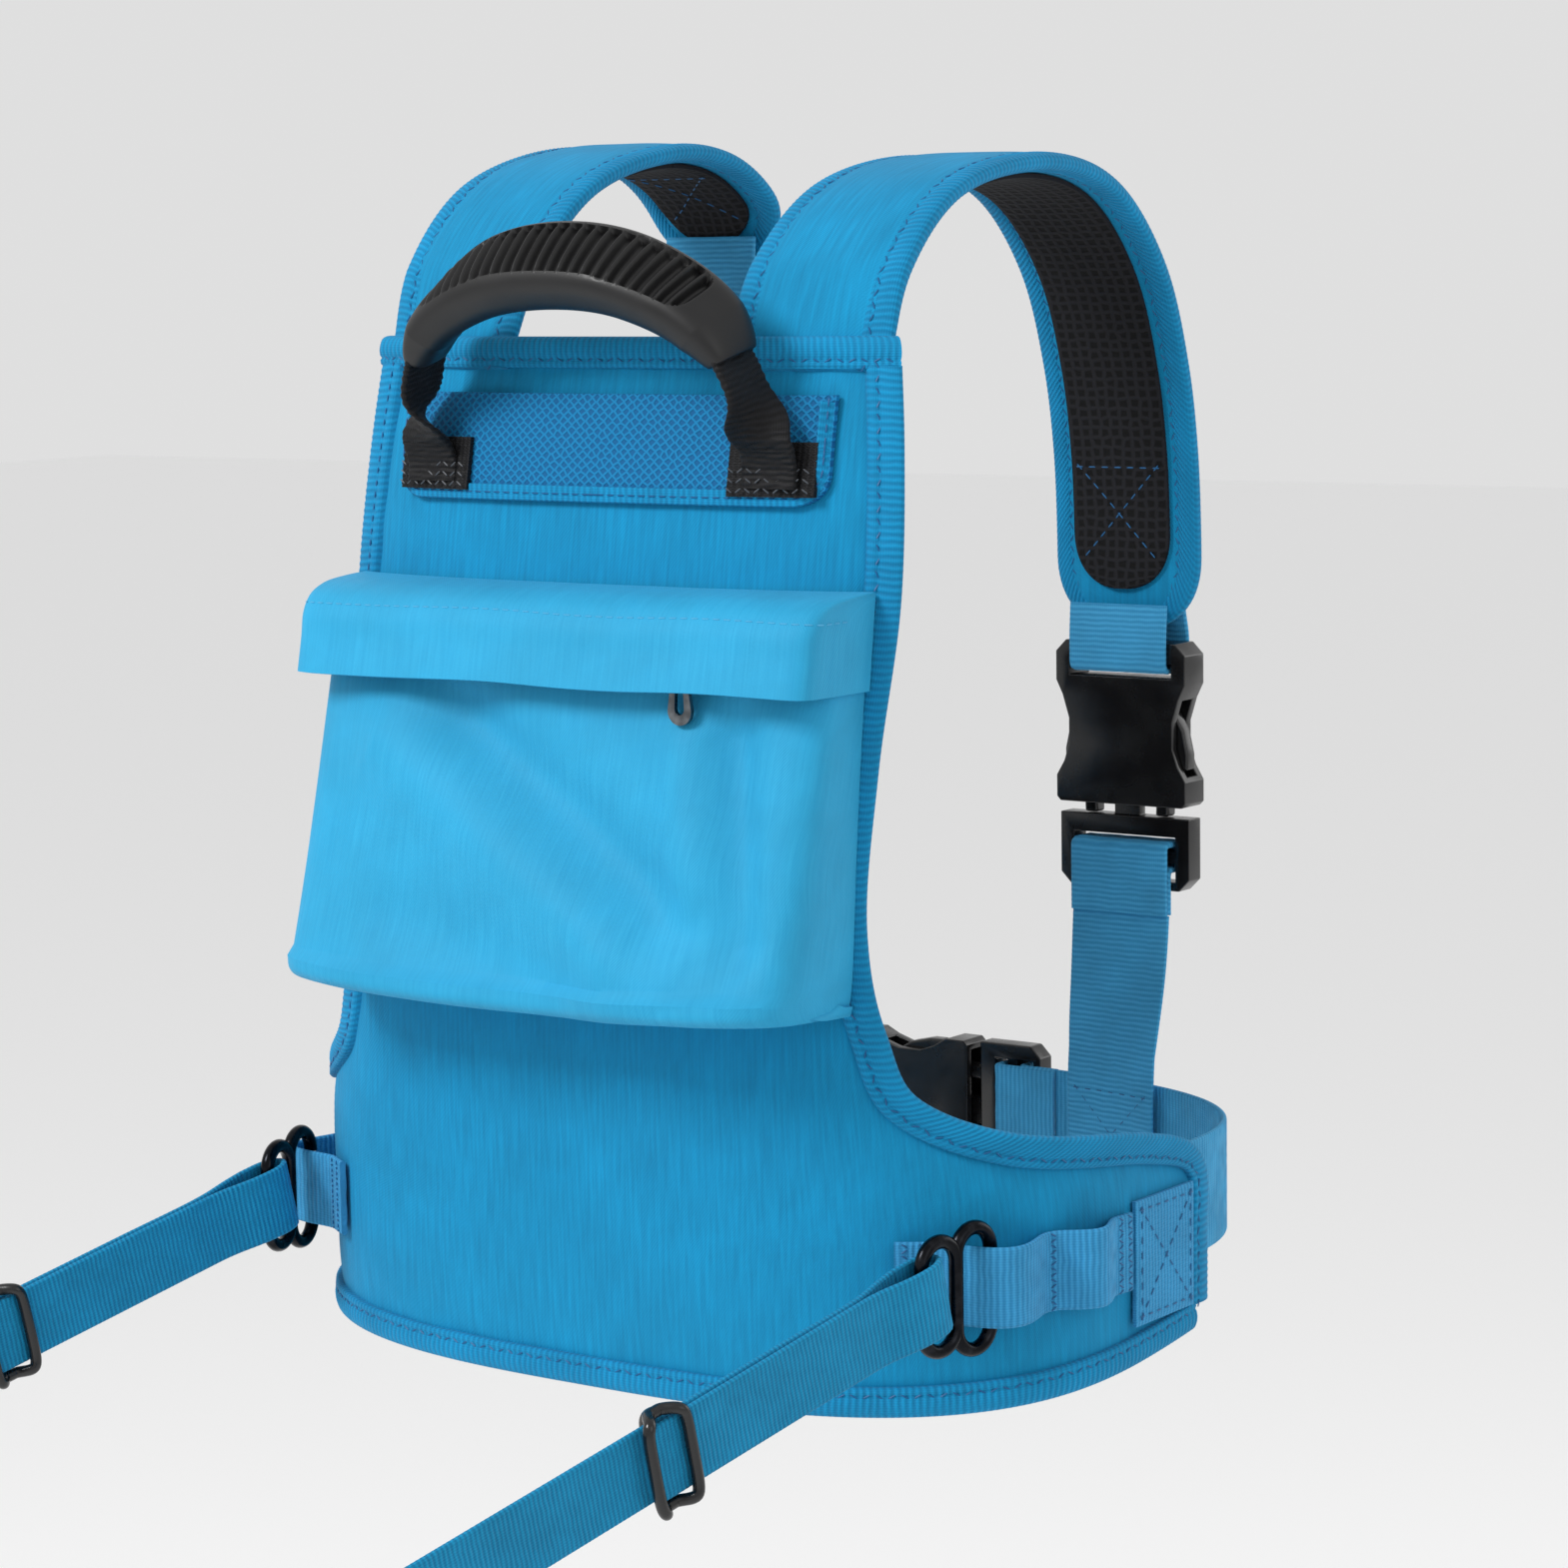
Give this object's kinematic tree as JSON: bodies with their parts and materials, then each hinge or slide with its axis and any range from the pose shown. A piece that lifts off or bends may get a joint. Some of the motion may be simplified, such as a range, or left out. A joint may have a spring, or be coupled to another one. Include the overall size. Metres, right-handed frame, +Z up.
{
  "type": "safety harness vest",
  "caption": "Child-size harness vest with padded back panel, shoulder straps, waist belt, side-release buckles, lifting handle, zipped back pocket and clip-on leashes.",
  "frame": {"origin": "middle of the wearer's trunk, at the height of the waist belt's centre line", "axes": "+X to the wearer's right, +Y to the wearer's front, +Z up"},
  "size_m": [0.359, 0.6394, 0.4482],
  "materials": {
    "panel_fabric": "woven polyester over foam",
    "pocket_fabric": "light woven polyester",
    "vest_webbing": "ribbed polypropylene webbing",
    "leash_webbing": "ribbed polypropylene webbing",
    "black_fabric": "spacer mesh and black webbing",
    "buckle_plastic": "moulded acetal",
    "grip_rubber": "moulded soft rubber",
    "dark_metal": "black-plated zinc"
  },
  "bodies": {
    "root": {"back_panel": "panel_fabric", "panel_lining": "black_fabric", "armhole_binding_right": "panel_fabric", "armhole_binding_left": "panel_fabric", "hem_binding": "panel_fabric", "neck_binding": "panel_fabric", "shoulder_pad_right": "panel_fabric", "shoulder_mesh_right": "black_fabric", "shoulder_pad_left": "panel_fabric", "shoulder_mesh_left": "black_fabric", "shoulder_buckle_right_socket": "buckle_plastic", "shoulder_buckle_right_socket_tab": "vest_webbing", "shoulder_buckle_left_socket": "buckle_plastic", "shoulder_buckle_left_socket_tab": "vest_webbing", "waist_buckle_socket": "buckle_plastic", "waist_buckle_socket_tab": "vest_webbing", "drop_strap_right": "vest_webbing", "drop_strap_left": "vest_webbing", "belt_right": "vest_webbing", "belt_left": "vest_webbing", "handle_patch": "pocket_fabric", "handle_anchor_right": "black_fabric", "handle_anchor_left": "black_fabric", "pocket_bag": "pocket_fabric", "zip_tape": "black_fabric", "side_patch_right": "vest_webbing", "side_loops_right": "vest_webbing", "hook_frame_right": "dark_metal", "leash_return_right": "leash_webbing", "leash_right": "leash_webbing", "hand_loop_right": "leash_webbing", "side_patch_left": "vest_webbing", "side_loops_left": "vest_webbing", "hook_frame_left": "dark_metal", "leash_return_left": "leash_webbing", "leash_left": "leash_webbing", "hand_loop_left": "leash_webbing"},
    "handle": {"handle_webbing": "black_fabric", "handle_grip": "grip_rubber"},
    "flap": {"pocket_flap": "pocket_fabric"},
    "zip": {"zip_slider": "dark_metal"},
    "puller": {"zip_puller": "dark_metal"},
    "right_plug": {"shoulder_buckle_right_plug": "buckle_plastic", "shoulder_buckle_right_plug_loop": "vest_webbing"},
    "right_prong_a": {"shoulder_buckle_right_prong_a": "buckle_plastic"},
    "right_prong_b": {"shoulder_buckle_right_prong_b": "buckle_plastic"},
    "left_plug": {"shoulder_buckle_left_plug": "buckle_plastic", "shoulder_buckle_left_plug_loop": "vest_webbing"},
    "left_prong_a": {"shoulder_buckle_left_prong_a": "buckle_plastic"},
    "left_prong_b": {"shoulder_buckle_left_prong_b": "buckle_plastic"},
    "waist_plug": {"waist_buckle_plug": "buckle_plastic", "waist_buckle_plug_loop": "vest_webbing"},
    "waist_prong_a": {"waist_buckle_prong_a": "buckle_plastic"},
    "waist_prong_b": {"waist_buckle_prong_b": "buckle_plastic"},
    "gate_right": {"hook_gate_right": "dark_metal"},
    "slider_right": {"leash_slider_right": "buckle_plastic"},
    "gate_left": {"hook_gate_left": "dark_metal"},
    "slider_left": {"leash_slider_left": "buckle_plastic"}
  },
  "joints": [
    {"name": "handle_fold", "type": "hinge", "parent": "root", "child": "handle", "pos_m": [0, -0.0952, 0.238], "axis": [1, 0, 0], "range_deg": [0, 75]},
    {"name": "flap_lift", "type": "hinge", "parent": "root", "child": "flap", "pos_m": [0, -0.0967, 0.202], "axis": [-1, 0, 0], "range_deg": [0, 75]},
    {"name": "zip_slide", "type": "slide", "parent": "root", "child": "zip", "axis": [1, 0, 0], "range_m": [-0.14, 0.034]},
    {"name": "puller_swing", "type": "hinge", "parent": "zip", "child": "puller", "pos_m": [0.053, -0.1221, 0.1794], "axis": [0, 1, 0], "range_deg": [-35, 35]},
    {"name": "right_release", "type": "slide", "parent": "root", "child": "right_plug", "axis": [0, 0, -1], "range_m": [0, 0.035], "deforming": ["drop_strap_right", "shoulder_buckle_right_prong_a", "shoulder_buckle_right_prong_b"]},
    {"name": "right_pinch_a", "type": "hinge", "parent": "right_plug", "child": "right_prong_a", "pos_m": [0.056, 0.112, 0.1103], "axis": [0, 1, 0], "range_deg": [0, 9], "stiffness_Nm_per_rad": 0.03},
    {"name": "right_pinch_b", "type": "hinge", "parent": "right_plug", "child": "right_prong_b", "pos_m": [0.084, 0.112, 0.1103], "axis": [0, -1, 0], "range_deg": [0, 9], "stiffness_Nm_per_rad": 0.03},
    {"name": "left_release", "type": "slide", "parent": "root", "child": "left_plug", "axis": [0, 0, -1], "range_m": [0, 0.035], "deforming": ["drop_strap_left", "shoulder_buckle_left_prong_a", "shoulder_buckle_left_prong_b"]},
    {"name": "left_pinch_a", "type": "hinge", "parent": "left_plug", "child": "left_prong_a", "pos_m": [-0.084, 0.072, 0.2363], "axis": [0, 1, 0], "range_deg": [0, 9], "stiffness_Nm_per_rad": 0.03},
    {"name": "left_pinch_b", "type": "hinge", "parent": "left_plug", "child": "left_prong_b", "pos_m": [-0.056, 0.072, 0.2363], "axis": [0, -1, 0], "range_deg": [0, 9], "stiffness_Nm_per_rad": 0.03},
    {"name": "waist_release", "type": "slide", "parent": "root", "child": "waist_plug", "axis": [1, 0, 0], "range_m": [0, 0.035], "deforming": ["belt_right", "waist_buckle_prong_a", "waist_buckle_prong_b"]},
    {"name": "waist_pinch_a", "type": "hinge", "parent": "waist_plug", "child": "waist_prong_a", "pos_m": [0.0097, 0.1123, -0.014], "axis": [0, 1, 0], "range_deg": [0, 9], "stiffness_Nm_per_rad": 0.03},
    {"name": "waist_pinch_b", "type": "hinge", "parent": "waist_plug", "child": "waist_prong_b", "pos_m": [0.0097, 0.1123, 0.014], "axis": [0, -1, 0], "range_deg": [0, 9], "stiffness_Nm_per_rad": 0.03},
    {"name": "gate_open_right", "type": "hinge", "parent": "root", "child": "gate_right", "pos_m": [0.13611, -0.08255, -0.01465], "axis": [0.9781, -0.2079, 0], "range_deg": [0, 20], "stiffness_Nm_per_rad": 0.01, "deforming": ["side_loops_right"]},
    {"name": "slider_adjust_right", "type": "slide", "parent": "root", "child": "slider_right", "axis": [-0.1402, -0.9664, -0.2153], "range_m": [-0.06, 0.12]},
    {"name": "gate_open_left", "type": "hinge", "parent": "root", "child": "gate_left", "pos_m": [-0.13611, -0.08255, -0.01465], "axis": [0.9781, 0.2079, 0], "range_deg": [0, 20], "stiffness_Nm_per_rad": 0.01, "deforming": ["side_loops_left"]},
    {"name": "slider_adjust_left", "type": "slide", "parent": "root", "child": "slider_left", "axis": [-0.1402, -0.9664, -0.2153], "range_m": [-0.06, 0.12]}
  ],
  "couplings": [
    {"joint": "right_pinch_b", "follows": "right_pinch_a", "ratio": 1},
    {"joint": "left_pinch_b", "follows": "left_pinch_a", "ratio": 1},
    {"joint": "waist_pinch_b", "follows": "waist_pinch_a", "ratio": 1}
  ]
}
